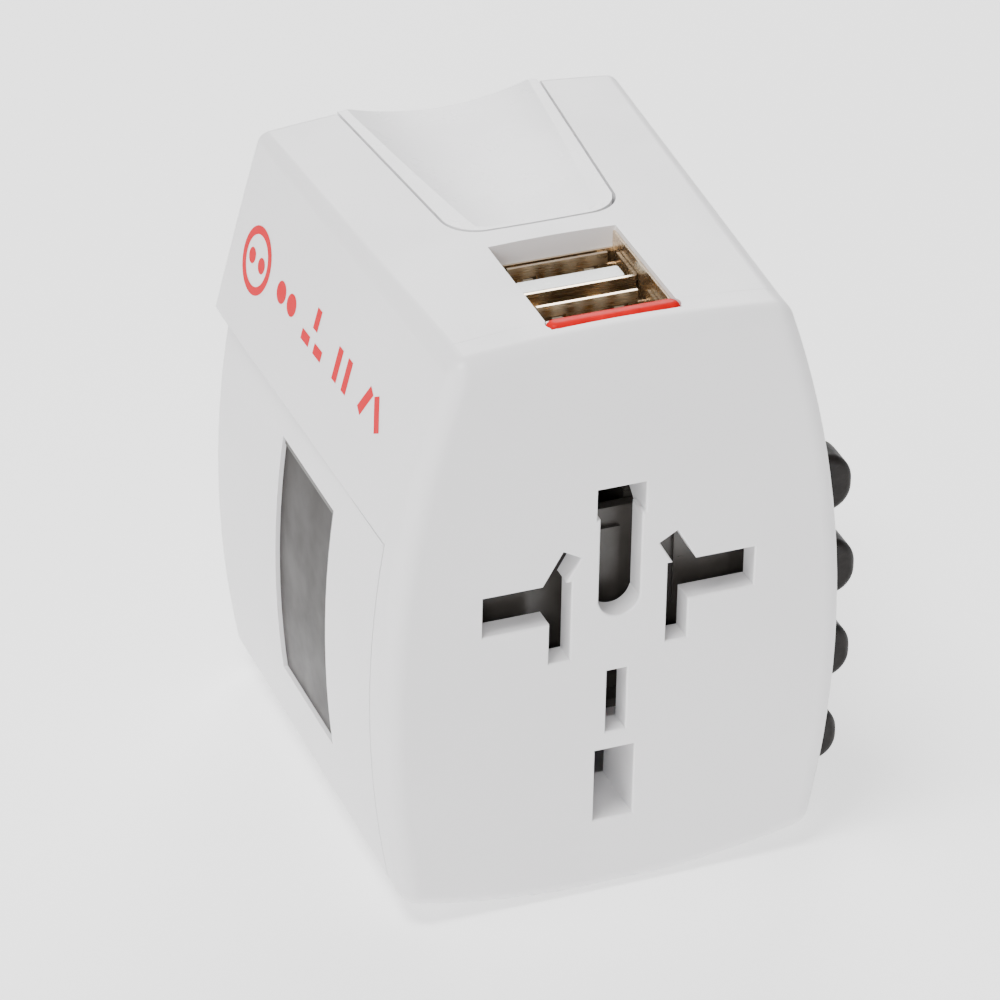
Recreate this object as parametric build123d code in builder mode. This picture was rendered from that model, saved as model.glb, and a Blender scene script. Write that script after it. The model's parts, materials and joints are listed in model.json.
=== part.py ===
"""Universal travel adapter: socket face in front, four sliding plug sets that leave the rear face."""
from build123d import *
from math import sqrt
import os

os.makedirs("parts", exist_ok=True)

# Frame: millimetres, X to the right, Y from the socket face to the rear face, Z up.
# Heights below are counted from the datum of the plug sets. Each piece is raised by LIFT when it is
# written, so that the origin is the middle of the narrow flat that runs along the underside.
LIFT = 1.0

# ---- outer form ----
FRONT_Y = -26.7
REAR_Y = 26.4
SEAM_Y = -22.2
SEAM_GAP = 0.2
PART_Z = 43.5
SIDE_R = 116.0
SIDE_X = 25.0
SIDE_Z = 25.0
TOP_Z = 66.0
TOP_R = 166.0
TOP_HALF = 18.1
BASE_R = 95.0
BASE_SINK = 0.16
BASE_HALF = 22.6
LOW_CORNER_R = 2.6
TOP_CORNER_R = 2.4
HOOD_CORNER_R = 1.5
EDGE_R = 2.1
REAR_EDGE_R = 0.8
WALL = 1.8
FRONT_WALL = 2.7
REAR_WALL = 2.0
HOOD_WALL = 2.0
FACE_BACK = FRONT_Y + FRONT_WALL
HOOD_REAR_TOP = 20.0
HOOD_REAR_LOW = 25.05
HOOD_LIP = 1.6

# ---- socket face ----
SOCKET_Z = 35.4
RIM_R = 0.22
ARM_OUT = 14.7
ARM_TOP = 2.5
ARM_LOW = -2.1
BLADE_IN = 5.2
BLADE_OUT = 7.5
BLADE_LOW = -6.8
TILT = 30.0
TILT_X = 6.44
TILT_UP = 3.5
TILT_LEN = 5.0
TILT_WIDE = 2.2
CENTRE_TOP = 12.7
CENTRE_WIDE = 2.6
CENTRE_NARROW = 2.25
CENTRE_STEP = 9.2
CENTRE_END = -0.3
SMALL_HALF = 1.1
SMALL_TOP = -9.07
SMALL_LOW = -16.53
EARTH_HALF_X = 2.16
EARTH_HALF_Z = 4.29
EARTH_Z = -22.96
TUNNEL_WALL = 1.2
TUNNEL_BACK = -18.7
WEB_THICK = 1.1
WEB_LOW = 43.8
WEB_MID = 46.3
WEB_TOP = 49.3
WEB_BACK = -20.4

# ---- charging ports ----
RECESS_HALF = 6.9
RECESS_FRONT = -23.9
RECESS_REAR = -6.4
RECESS_LOW = 63.2
COLLAR_WALL = 1.4
PORT_HALF = 6.55
PORT_DEEP = 5.7
PORT_TOP = 63.9
PORT_FRONTS = (-21.6, -13.5)
PORT_SHEET = 0.35
TONGUE_DROP = 0.3
TONGUE_THICK = 2.1
TONGUE_SET = 0.95
CORNER_NOTCH = 1.15
BAR_DEEP = 2.1
BAR_HALF = 7.1
BAR_GAP = 0.05
BOARD_LOW = 48.2
BOARD_TOP = 49.6

# ---- release button ----
BUTTON_GAP = 0.3
BUTTON_REAR_HALF = 11.2
BUTTON_FRONT_HALF = 8.9
BUTTON_FRONT = -3.3
BUTTON_BOW = 0.6
BUTTON_CORNER = 4.0
BUTTON_LOW = 61.2
BUTTON_TRAVEL = 1.8
LIP_ROOM = 0.3
LIP_WIDE = 25.6
LIP_LONG = 28.0
LIP_MID = 10.2
LIP_THICK = 1.2
LIP_CORNER_R = 3.0
SKIRT_FRONT = 23.7
SKIRT_REAR = 24.2
SKIRT_HALF = 12.4
SKIRT_LOW = 58.4
DISH_R = 34.0
DISH_REAR_DEPTH = 1.85
DISH_FRONT_DEPTH = 0.7
DISH_RIM = 0.5
DISH_EDGE_R = 0.4

# ---- plug sets ----
TRAVEL = 20.5
EU_Z = 39.8
UK_Z = 29.5
US_Z = 19.2
AU_Z = 8.9
PLATE_FRONT = -1.0
PLATE_REAR = 3.0
ARM_X_IN = 18.9
ARM_X_OUT = 20.9
ARM_TALL = 3.0
STEM_FRONT = -19.6
STEM_REAR = -16.6
STEM_TALL = 2.4
STEM_REACH = 2.0
PIN_HOLE_GAP = 0.3
EU_PIN_X = 9.5
EU_PIN_R = 2.0
UK_PIN_X = 11.1
UK_PIN_WIDE = 6.35
UK_PIN_TALL = 4.0
UK_EARTH_UP = 22.2
UK_EARTH_WIDE = 4.0
UK_EARTH_TALL = 8.0
US_PIN_X = 6.35
US_PIN_WIDE = 1.5
US_PIN_TALL = 6.35
AU_PIN_X = 6.85
AU_PIN_WIDE = 1.6
AU_PIN_TALL = 6.3
EU_OUT = 19.0
UK_OUT = 17.7
US_OUT = 17.0
AU_OUT = 17.3
RISER_OUT = -18.4
RISER_IN = -15.6
EU_PLATE_HALF = 12.2
UK_PLATE_HALF = 15.2
US_PLATE_HALF = 9.0
AU_PLATE_HALF = 10.4
ROUND_PLATE_TALL = 6.2
US_PLATE_TALL = 8.0
AU_PLATE_TALL = 7.6
BRIDGE_HALF = 2.7
BRIDGE_RIGHT = 3.0

# ---- knobs ----
KNOB_PROUD = 3.9
KNOB_TALL = 6.8
KNOB_FRONT = -21.2
KNOB_REAR = -15.4
KNOB_ROOT = 18.0
KNOB_TOP_R = 3.3
KNOB_LOW_R = 2.8
KNOB_REAR_R = 2.2
KNOB_FRONT_R = 0.8
KNOB_GAP = 0.3

# ---- side window ----
WINDOW_FRONT = -8.7
WINDOW_REAR = 6.9
WINDOW_LOW = 11.1
WINDOW_TOP = 39.7

# ---- back plate ----
BACK_OUT = 26.7
BACK_IN = 24.9
PLATE_ROOM = 18.4
PLATE_WIDE = 36.4
PLATE_LOW = 3.7
PLATE_TOP = 57.1
PLATE_CORNER_R = 3.0


def side_x(z, inset=0.0):
    """Half width of the bulged side at height z, or of its inner face."""
    return SIDE_X - SIDE_R + sqrt((SIDE_R - inset) ** 2 - (z - SIDE_Z) ** 2)


def base_z(x, inset=0.0):
    """Height of the curved underside at distance x from the middle, or of its inner face."""
    return BASE_R - BASE_SINK - LIFT - sqrt((BASE_R - inset) ** 2 - x ** 2)


def top_z(x, inset=0.0):
    """Height of the crowned top at distance x from the middle, or of its inner face."""
    return TOP_Z - TOP_R + sqrt((TOP_R - inset) ** 2 - x ** 2)


def at_y(y):
    """Plane facing the front at depth y, its own axes along X and Z."""
    return Plane.XZ.offset(-y)


def box_between(x0, x1, y0, y1, z0, z1, mode=Mode.ADD):
    """Add or cut a block given by its two corners."""
    middle = ((x0 + x1) / 2, (y0 + y1) / 2, (z0 + z1) / 2)
    with Locations(middle):
        Box(x1 - x0, y1 - y0, z1 - z0, mode=mode)


def side_box(side, near, far, y0, y1, z0, z1, mode=Mode.ADD):
    """Block between two distances from the middle, on the side given by -1 or 1."""
    box_between(min(side * near, side * far), max(side * near, side * far), y0, y1, z0, z1, mode)


def finish(builder, name):
    """Raise a finished piece to the shared frame, label it and write it to its own file."""
    raised = Pos(0, 0, LIFT) * builder.part
    raised.label = name
    export_step(raised, "parts/" + name + ".step")


def draw_base(corner_x, corner_z, inset):
    """Underside of a section: a narrow flat between two shallow arcs."""
    flat_half = sqrt(BASE_R ** 2 - (BASE_R - BASE_SINK) ** 2) * (BASE_R - inset) / BASE_R
    mid_x = (corner_x + flat_half) / 2
    mid_z = base_z(mid_x, inset)
    Line((-flat_half, base_z(flat_half, inset)), (flat_half, base_z(flat_half, inset)))
    ThreePointArc((flat_half, base_z(flat_half, inset)), (mid_x, mid_z), (corner_x, corner_z))
    ThreePointArc((-corner_x, corner_z), (-mid_x, mid_z), (-flat_half, base_z(flat_half, inset)))


def low_corner(inset):
    """Sharp corner where the side and the underside would meet."""
    corner_x = side_x(base_z(BASE_HALF, inset), inset)
    return corner_x, base_z(corner_x, inset)


def low_section(y, inset=0.0, cut_z=PART_Z):
    """Closed section of the lower body, from the underside up to cut_z."""
    corner_x, corner_z = low_corner(inset)
    mid_z = (corner_z + cut_z) / 2
    cut_x = side_x(cut_z, inset)
    with BuildSketch(at_y(y)) as section:
        with BuildLine():
            draw_base(corner_x, corner_z, inset)
            ThreePointArc((corner_x, corner_z), (side_x(mid_z, inset), mid_z), (cut_x, cut_z))
            Line((cut_x, cut_z), (-cut_x, cut_z))
            ThreePointArc((-cut_x, cut_z), (-side_x(mid_z, inset), mid_z), (-corner_x, corner_z))
        make_face()
        corners = section.vertices().filter_by_position(Axis.X, corner_x - 0.01, corner_x + 0.01)
        corners += section.vertices().filter_by_position(Axis.X, -corner_x - 0.01, -corner_x + 0.01)
        fillet(corners, radius=LOW_CORNER_R - inset)
    return section.sketch


def full_section(y, inset=0.0):
    """Closed section of the whole body at the socket face."""
    corner_x, corner_z = low_corner(inset)
    upper_z = top_z(TOP_HALF, inset)
    upper_x = side_x(upper_z, inset)
    top_mid = TOP_Z - inset
    with BuildSketch(at_y(y)) as section:
        with BuildLine():
            draw_base(corner_x, corner_z, inset)
            ThreePointArc((corner_x, corner_z), (SIDE_X - inset, SIDE_Z), (upper_x, upper_z))
            ThreePointArc((upper_x, upper_z), (0, top_mid), (-upper_x, upper_z))
            ThreePointArc((-upper_x, upper_z), (-SIDE_X + inset, SIDE_Z), (-corner_x, corner_z))
        make_face()
        fillet(section.vertices().sort_by(Axis.Y)[-2:], radius=TOP_CORNER_R - inset / 2)
        corners = section.vertices().filter_by_position(Axis.X, corner_x - 0.01, corner_x + 0.01)
        corners += section.vertices().filter_by_position(Axis.X, -corner_x - 0.01, -corner_x + 0.01)
        fillet(corners, radius=LOW_CORNER_R - inset)
    return section.sketch


def hood_section(y, top_half, low_half, lip, inset=0.0, low_z=PART_Z, corner=TOP_CORNER_R):
    """Closed section of the hood: crowned top, slightly bowed flanks and a turned-in lower lip."""
    upper_z = top_z(top_half) - inset
    upper_x = top_half - inset
    low_x = low_half - inset
    mid_z = (low_z + upper_z) / 2
    bow = (side_x(mid_z) - (side_x(low_z) + side_x(upper_z)) / 2) * (1 - lip / (2 * HOOD_LIP))
    mid_x = (low_x + upper_x) / 2 + bow
    lip_z = low_z + lip
    with BuildSketch(at_y(y)) as section:
        with BuildLine():
            Line((-low_x + lip / 2, low_z), (low_x - lip / 2, low_z))
            Line((low_x - lip / 2, low_z), (low_x, lip_z))
            ThreePointArc((low_x, lip_z), (mid_x, mid_z), (upper_x, upper_z))
            ThreePointArc((upper_x, upper_z), (0, TOP_Z - inset), (-upper_x, upper_z))
            ThreePointArc((-upper_x, upper_z), (-mid_x, mid_z), (-low_x, lip_z))
            Line((-low_x, lip_z), (-low_x + lip / 2, low_z))
        make_face()
        fillet(section.vertices().sort_by(Axis.Y)[-2:], radius=corner - inset / 2)
    return section.sketch


def hood_outer():
    """Solid of the hood's outside, from the seam to the rear."""
    front_top = side_x(top_z(TOP_HALF))
    with BuildPart() as outer:
        hood_front = hood_section(SEAM_Y, front_top, side_x(PART_Z), 0.1)
        hood_rear = hood_section(REAR_Y, HOOD_REAR_TOP, HOOD_REAR_LOW, HOOD_LIP, corner=HOOD_CORNER_R)
        loft([hood_front, hood_rear])
    return outer.part


def hood_inner():
    """Solid of the space under the hood, open below the parting line."""
    front_top = side_x(top_z(TOP_HALF))
    drop = 1.0
    with BuildPart() as inner:
        hood_front = hood_section(SEAM_Y, front_top, side_x(PART_Z), 0.1, HOOD_WALL, PART_Z - drop)
        rear_y = REAR_Y - REAR_WALL
        hood_rear = hood_section(rear_y, HOOD_REAR_TOP, HOOD_REAR_LOW, 0.1, HOOD_WALL, PART_Z - drop)
        loft([hood_front, hood_rear])
    return inner.part


def button_outline(grow, z):
    """Plan of the thumb piece, open past the rear edge, grown on its three inner sides."""
    rear = REAR_Y + 2
    spread = (BUTTON_REAR_HALF - BUTTON_FRONT_HALF) / (REAR_Y - BUTTON_FRONT)
    rear_x = BUTTON_REAR_HALF + spread * 2 + grow
    front_x = BUTTON_FRONT_HALF + grow
    front = BUTTON_FRONT - grow
    with BuildSketch(Plane.XY.offset(z)) as outline:
        with BuildLine():
            Line((-rear_x, rear), (rear_x, rear))
            Line((rear_x, rear), (front_x, front + BUTTON_BOW))
            ThreePointArc((front_x, front + BUTTON_BOW), (0, front), (-front_x, front + BUTTON_BOW))
            Line((-front_x, front + BUTTON_BOW), (-rear_x, rear))
        make_face()
        fillet(outline.vertices().group_by(Axis.Y)[0], radius=BUTTON_CORNER)
    return outline.sketch


def socket_slots(y):
    """All the openings of the socket face as one sketch."""
    blade_mid = (BLADE_IN + BLADE_OUT) / 2
    centre_mid = (CENTRE_TOP + CENTRE_STEP) / 2
    with BuildSketch(at_y(y)) as slots:
        for side in (-1, 1):
            with Locations((side * (ARM_OUT + BLADE_IN) / 2, SOCKET_Z + (ARM_TOP + ARM_LOW) / 2)):
                Rectangle(ARM_OUT - BLADE_IN, ARM_TOP - ARM_LOW)
            with Locations((side * blade_mid, SOCKET_Z + (ARM_TOP + BLADE_LOW) / 2)):
                Rectangle(BLADE_OUT - BLADE_IN, ARM_TOP - BLADE_LOW)
            with Locations(Location((side * TILT_X, SOCKET_Z + TILT_UP), side * TILT)):
                Rectangle(TILT_WIDE, TILT_LEN)
        with Locations((0, SOCKET_Z + centre_mid)):
            Rectangle(2 * CENTRE_WIDE, CENTRE_TOP - CENTRE_STEP)
        with Locations((0, SOCKET_Z + (CENTRE_STEP + CENTRE_END) / 2)):
            Rectangle(2 * CENTRE_NARROW, CENTRE_STEP - CENTRE_END + 1)
        with Locations((0, SOCKET_Z + CENTRE_END)):
            Circle(CENTRE_NARROW)
        with Locations((0, SOCKET_Z + (SMALL_TOP + SMALL_LOW) / 2)):
            Rectangle(2 * SMALL_HALF, SMALL_TOP - SMALL_LOW)
        with Locations((0, SOCKET_Z + EARTH_Z)):
            Rectangle(2 * EARTH_HALF_X, 2 * EARTH_HALF_Z)
    return slots.sketch


# ---- front cover: socket face and hood in one L-shaped shell ----
with BuildPart() as hood_shell:
    add(hood_outer())
    fillet(hood_shell.faces().sort_by(Axis.Y)[-1].edges(), radius=REAR_EDGE_R)
    add(hood_inner(), mode=Mode.SUBTRACT)

with BuildPart() as front_cover:
    extrude(full_section(FRONT_Y), amount=FRONT_Y - SEAM_Y)
    fillet(front_cover.faces().sort_by(Axis.Y)[0].edges(), radius=EDGE_R)
    extrude(full_section(FACE_BACK, HOOD_WALL), amount=FACE_BACK - SEAM_Y, mode=Mode.SUBTRACT)
    add(hood_shell.part)
    collar = RECESS_HALF + COLLAR_WALL
    box_between(-collar, collar, RECESS_FRONT - 1, RECESS_REAR + 1, RECESS_LOW, TOP_Z - 1)
    box_between(
        -RECESS_HALF, RECESS_HALF, RECESS_FRONT, RECESS_REAR,
        RECESS_LOW - 1, TOP_Z + 1, Mode.SUBTRACT,
    )
    with BuildSketch(Plane.XY.offset(RECESS_LOW + 0.3)):
        with Locations((0, RECESS_FRONT + BAR_DEEP / 2)):
            SlotOverall(2 * (BAR_HALF + BAR_GAP), BAR_DEEP + 2 * BAR_GAP)
    extrude(amount=4, mode=Mode.SUBTRACT)
    extrude(button_outline(BUTTON_GAP, BUTTON_LOW - BUTTON_TRAVEL - LIP_ROOM), amount=10, mode=Mode.SUBTRACT)
    box_between(-PLATE_ROOM, PLATE_ROOM, BACK_IN - 1, REAR_Y + 1, PLATE_LOW, PLATE_TOP + 0.3, Mode.SUBTRACT)
    with BuildSketch(at_y(FACE_BACK)):
        with Locations((0, SOCKET_Z + EARTH_Z)):
            Rectangle(2 * (EARTH_HALF_X + TUNNEL_WALL), 2 * (EARTH_HALF_Z + TUNNEL_WALL))
            Rectangle(2 * EARTH_HALF_X, 2 * EARTH_HALF_Z, mode=Mode.SUBTRACT)
    extrude(amount=FACE_BACK - TUNNEL_BACK)
    for side in (-1, 1):
        with BuildSketch(Plane.YZ.offset(side * (CENTRE_WIDE + WEB_THICK / 2))):
            Polygon(
                (FACE_BACK, WEB_LOW), (WEB_BACK, WEB_MID), (WEB_BACK, WEB_TOP),
                (FACE_BACK, WEB_TOP), align=None,
            )
        extrude(amount=WEB_THICK / 2, both=True)
    extrude(socket_slots(FRONT_Y - 1), amount=-(FRONT_WALL + 1), mode=Mode.SUBTRACT)
    face = front_cover.faces().sort_by(Axis.Y)[0]
    fillet([edge for wire in face.inner_wires() for edge in wire.edges()], radius=RIM_R)
finish(front_cover, "front_cover")

# ---- rear housing: sides and underside ----
KNOB_LEVELS = (EU_Z, UK_Z, US_Z, AU_Z)
LANE_FRONT = STEM_FRONT - 0.4
LANE_REAR = STEM_REAR + TRAVEL + 0.4
LANE_TALL = STEM_TALL + 0.6

with BuildPart() as rear_housing:
    extrude(low_section(SEAM_Y + SEAM_GAP, 0, PART_Z - SEAM_GAP), amount=SEAM_Y + SEAM_GAP - REAR_Y)
    fillet(rear_housing.faces().sort_by(Axis.Y)[-1].edges().sort_by(Axis.Z)[:-1], radius=REAR_EDGE_R)
    extrude(
        low_section(SEAM_Y + SEAM_GAP - 1, WALL, PART_Z + 5),
        amount=SEAM_Y + SEAM_GAP - 1 - (REAR_Y - REAR_WALL),
        mode=Mode.SUBTRACT,
    )
    box_between(-PLATE_ROOM, PLATE_ROOM, BACK_IN - 1, REAR_Y + 1, PLATE_LOW - 0.3, PART_Z + 1, Mode.SUBTRACT)
    for level in KNOB_LEVELS:
        lane_low = level - LANE_TALL / 2
        lane_high = level + LANE_TALL / 2
        box_between(ARM_X_IN, SIDE_X + 1, LANE_FRONT, LANE_REAR, lane_low, lane_high, Mode.SUBTRACT)
    box_between(-SIDE_X - 1, -20.5, WINDOW_FRONT, WINDOW_REAR, WINDOW_LOW, WINDOW_TOP, Mode.SUBTRACT)
finish(rear_housing, "rear_housing")

# ---- back plate with the pin openings ----
SCREW_POINTS = ((-13.2, 24.2), (13.2, 24.2), (-13.2, 45.2), (13.2, 45.2))
SCREW_HEAD_R = 2.0
SCREW_R = 0.95
BOSS_R = 1.9

with BuildPart() as back_plate:
    with BuildSketch(at_y(BACK_OUT)):
        with Locations((0, (PLATE_LOW + PLATE_TOP) / 2)):
            RectangleRounded(PLATE_WIDE, PLATE_TOP - PLATE_LOW, PLATE_CORNER_R)
        with Locations((-EU_PIN_X, EU_Z), (EU_PIN_X, EU_Z)):
            Circle(EU_PIN_R + PIN_HOLE_GAP, mode=Mode.SUBTRACT)
        with Locations((-UK_PIN_X, UK_Z), (UK_PIN_X, UK_Z)):
            Rectangle(UK_PIN_WIDE + 2 * PIN_HOLE_GAP, UK_PIN_TALL + 2 * PIN_HOLE_GAP, mode=Mode.SUBTRACT)
        with Locations((0, UK_Z + UK_EARTH_UP)):
            Rectangle(UK_EARTH_WIDE + 2 * PIN_HOLE_GAP, UK_EARTH_TALL + 2 * PIN_HOLE_GAP, mode=Mode.SUBTRACT)
        with Locations((-US_PIN_X, US_Z), (US_PIN_X, US_Z)):
            Rectangle(US_PIN_WIDE + 2 * PIN_HOLE_GAP, US_PIN_TALL + 2 * PIN_HOLE_GAP, mode=Mode.SUBTRACT)
        for side in (-1, 1):
            with Locations(Location((side * AU_PIN_X, AU_Z), -side * TILT)):
                Rectangle(AU_PIN_WIDE + 2 * PIN_HOLE_GAP, AU_PIN_TALL + 2 * PIN_HOLE_GAP, mode=Mode.SUBTRACT)
    extrude(amount=BACK_OUT - BACK_IN)
    for x, z in SCREW_POINTS:
        with Locations(Location((x, BACK_OUT, z), (-90, 0, 0))):
            CounterSinkHole(radius=SCREW_R + 0.1, counter_sink_radius=SCREW_HEAD_R + 0.1)
finish(back_plate, "back_plate")

# ---- release button and the latch bar that hangs from it ----
with BuildPart() as button_top:
    add(hood_outer())
    extrude(button_outline(0, TOP_Z - 8), amount=16, mode=Mode.INTERSECT)
    box_between(-SIDE_X, SIDE_X, FRONT_Y, REAR_Y + 1, TOP_Z - 12, BUTTON_LOW, Mode.SUBTRACT)

DISH_SLOPE = (DISH_REAR_DEPTH - DISH_FRONT_DEPTH) / (REAR_Y - BUTTON_FRONT)
DISH_LONG = 60.0
dish_plane = Plane(
    origin=(0, BUTTON_FRONT, TOP_Z - DISH_FRONT_DEPTH + DISH_R),
    x_dir=(1, 0, 0),
    z_dir=(0, 1, -DISH_SLOPE),
)

with BuildPart() as dish:
    with BuildSketch(dish_plane):
        Circle(DISH_R)
    extrude(amount=DISH_LONG, both=True)
    extrude(button_outline(-DISH_RIM, TOP_Z - 4), amount=6, mode=Mode.INTERSECT)
    floor_edges = dish.faces().sort_by(Axis.Z)[0].edges().filter_by_position(Axis.Y, FRONT_Y, REAR_Y)
    fillet(floor_edges, radius=DISH_EDGE_R)

with BuildPart() as release_button:
    add(button_top.part)
    with BuildSketch(Plane.XY.offset(BUTTON_LOW)):
        with Locations((0, LIP_MID)):
            RectangleRounded(LIP_WIDE, LIP_LONG, LIP_CORNER_R)
    extrude(amount=LIP_THICK)
    box_between(-SKIRT_HALF, SKIRT_HALF, SKIRT_FRONT, SKIRT_REAR, SKIRT_LOW, BUTTON_LOW + LIP_THICK)
    add(dish.part, mode=Mode.SUBTRACT)
finish(release_button, "release_button")

LATCH_X = 13.0
LATCH_WIDE = 3.0
LATCH_FRONT = -6.0
LATCH_REAR = -4.6
LATCH_HOOK = -2.3
LATCH_IN = 8.0
LATCH_LOW = 7.0
LATCH_THICK = 1.2
TOOTH_GAP = 0.4
TOOTH_ROUND = 0.5

with BuildPart() as latch_bar:
    latch_out = LATCH_X + LATCH_WIDE
    box_between(LATCH_X, latch_out, LATCH_FRONT, LATCH_REAR, LATCH_LOW, BUTTON_LOW - LATCH_THICK)
    box_between(LATCH_IN, latch_out, LATCH_FRONT, LATCH_HOOK - 0.1, BUTTON_LOW - LATCH_THICK, BUTTON_LOW)
    for level in KNOB_LEVELS:
        tooth_low = level - LATCH_THICK
        tooth_top = level + LATCH_THICK
        box_between(latch_out, ARM_X_IN - TOOTH_GAP, LATCH_FRONT, LATCH_REAR, tooth_low, tooth_top)
    fillet(latch_bar.edges().filter_by(Axis.Y).group_by(Axis.X)[-1], radius=TOOTH_ROUND)
finish(latch_bar, "latch_bar")

SPRING_POINTS = ((-6.5, 6.0), (6.5, 6.0), (-6.5, 17.0), (6.5, 17.0))
DECK_TOP = 57.6
SPRING_WIRE = 0.25
SPRING_COIL_R = 1.6
SPRING_TALL = BUTTON_LOW - DECK_TOP - 2 * SPRING_WIRE
SPRING_TURNS = 5


def coil(start, radius, wire, tall, turns):
    """Helical spring standing on its lower end."""
    with BuildPart(mode=Mode.PRIVATE) as spring:
        with BuildLine() as path:
            Helix(pitch=tall / turns, height=tall, radius=radius)
        with BuildSketch(Plane(origin=path.line @ 0, z_dir=path.line % 0)):
            Circle(wire)
        sweep()
    add(Pos(*start) * spring.part)


with BuildPart() as button_springs:
    for x, y in SPRING_POINTS:
        coil((x, y, DECK_TOP + SPRING_WIRE), SPRING_COIL_R, SPRING_WIRE, SPRING_TALL, SPRING_TURNS)
finish(button_springs, "button_springs")


# ---- plug carriers: a plate behind the bulkhead, an arm along the right wall and a stem for the knob ----
def carrier_body(level, plate_half, plate_tall):
    """Plate, link, arm and knob stem of one plug set."""
    plate_low = level - plate_tall / 2
    plate_high = level + plate_tall / 2
    box_between(-plate_half, plate_half, PLATE_FRONT, PLATE_REAR, plate_low, plate_high)
    low = level - ARM_TALL / 2
    high = level + ARM_TALL / 2
    box_between(plate_half, ARM_X_OUT, PLATE_FRONT, PLATE_REAR, low, high)
    box_between(ARM_X_IN, ARM_X_OUT, STEM_FRONT, PLATE_FRONT, low, high)
    stem_out = side_x(level) + STEM_REACH
    box_between(ARM_X_OUT, stem_out, STEM_FRONT, STEM_REAR, level - STEM_TALL / 2, level + STEM_TALL / 2)
    with Locations((ARM_X_IN, (LATCH_FRONT + LATCH_REAR) / 2, level)):
        Box(0.8, 2.4, ARM_TALL, mode=Mode.SUBTRACT)


def round_prongs(half_gap, level, radius, y0, y1, mode=Mode.ADD):
    """Two round rods along Y."""
    with BuildSketch(at_y(y0)) as ends:
        with Locations((-half_gap, level), (half_gap, level)):
            Circle(radius)
    extrude(ends.sketch, amount=y0 - y1, mode=mode)


def flat_prongs(half_gap, level, wide, tall, tilt, y0, y1, mode=Mode.ADD):
    """Two flat bars along Y, mirrored and tilted by the same angle."""
    with BuildSketch(at_y(y0)) as ends:
        for side in (-1, 1):
            with Locations(Location((side * half_gap, level), -side * tilt)):
                Rectangle(wide, tall)
    extrude(ends.sketch, amount=y0 - y1, mode=mode)


CORE = 0.5
UK_CORE_WIDE = UK_PIN_WIDE - 2 * CORE
UK_CORE_TALL = UK_PIN_TALL - 2 * CORE
SLEEVE_SHARE = 0.5

with BuildPart() as eu_carrier:
    carrier_body(EU_Z, EU_PLATE_HALF, ROUND_PLATE_TALL)
    round_prongs(EU_PIN_X, EU_Z, EU_PIN_R - CORE, PLATE_FRONT, PLATE_REAR, Mode.SUBTRACT)
finish(eu_carrier, "eu_plug_carrier")

with BuildPart() as uk_carrier:
    carrier_body(UK_Z, UK_PLATE_HALF, ROUND_PLATE_TALL)
    riser_low = UK_Z - ROUND_PLATE_TALL / 2
    bridge_low = UK_Z + UK_EARTH_UP - BRIDGE_HALF
    bridge_top = UK_Z + UK_EARTH_UP + BRIDGE_HALF
    box_between(RISER_OUT, -UK_PLATE_HALF, PLATE_FRONT, PLATE_REAR, riser_low, riser_low + ROUND_PLATE_TALL)
    box_between(RISER_OUT, RISER_IN, PLATE_FRONT, PLATE_REAR, riser_low, bridge_top)
    box_between(RISER_IN, BRIDGE_RIGHT, PLATE_FRONT, PLATE_REAR, bridge_low, bridge_top)
    flat_prongs(UK_PIN_X, UK_Z, UK_CORE_WIDE, UK_CORE_TALL, 0, PLATE_FRONT, PLATE_REAR, Mode.SUBTRACT)
finish(uk_carrier, "uk_plug_carrier")

with BuildPart() as us_carrier:
    carrier_body(US_Z, US_PLATE_HALF, US_PLATE_TALL)
    flat_prongs(US_PIN_X, US_Z, US_PIN_WIDE, US_PIN_TALL, 0, PLATE_FRONT, PLATE_REAR, Mode.SUBTRACT)
finish(us_carrier, "us_plug_carrier")

with BuildPart() as au_carrier:
    carrier_body(AU_Z, AU_PLATE_HALF, AU_PLATE_TALL)
    flat_prongs(AU_PIN_X, AU_Z, AU_PIN_WIDE, AU_PIN_TALL, TILT, PLATE_FRONT, PLATE_REAR, Mode.SUBTRACT)
finish(au_carrier, "au_plug_carrier")

# ---- pins, with insulating sleeves on the round and the large rectangular ones ----
EU_TIP = BACK_OUT + EU_OUT - TRAVEL
UK_TIP = BACK_OUT + UK_OUT - TRAVEL
US_TIP = BACK_OUT + US_OUT - TRAVEL
AU_TIP = BACK_OUT + AU_OUT - TRAVEL
EU_SLEEVE_END = PLATE_REAR + (EU_TIP - PLATE_REAR) * SLEEVE_SHARE
UK_SLEEVE_END = PLATE_REAR + (UK_TIP - PLATE_REAR) * SLEEVE_SHARE
TIP_ROUND = 0.6
EARTH_SINK = 0.7

with BuildPart() as eu_pins:
    round_prongs(EU_PIN_X, EU_Z, EU_PIN_R, EU_SLEEVE_END, EU_TIP)
    fillet(eu_pins.faces().sort_by(Axis.Y)[-2:].edges(), radius=1.2)
    round_prongs(EU_PIN_X, EU_Z, EU_PIN_R - CORE, PLATE_FRONT, EU_SLEEVE_END)
finish(eu_pins, "eu_pins")

with BuildPart() as eu_sleeves:
    round_prongs(EU_PIN_X, EU_Z, EU_PIN_R, PLATE_REAR, EU_SLEEVE_END)
    round_prongs(EU_PIN_X, EU_Z, EU_PIN_R - CORE, PLATE_REAR, EU_SLEEVE_END, Mode.SUBTRACT)
finish(eu_sleeves, "eu_pin_sleeves")

with BuildPart() as uk_pins:
    flat_prongs(UK_PIN_X, UK_Z, UK_PIN_WIDE, UK_PIN_TALL, 0, UK_SLEEVE_END, UK_TIP)
    chamfer(uk_pins.faces().sort_by(Axis.Y)[-2:].edges(), length=TIP_ROUND)
    flat_prongs(UK_PIN_X, UK_Z, UK_CORE_WIDE, UK_CORE_TALL, 0, PLATE_FRONT, UK_SLEEVE_END)
finish(uk_pins, "uk_pins")

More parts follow.
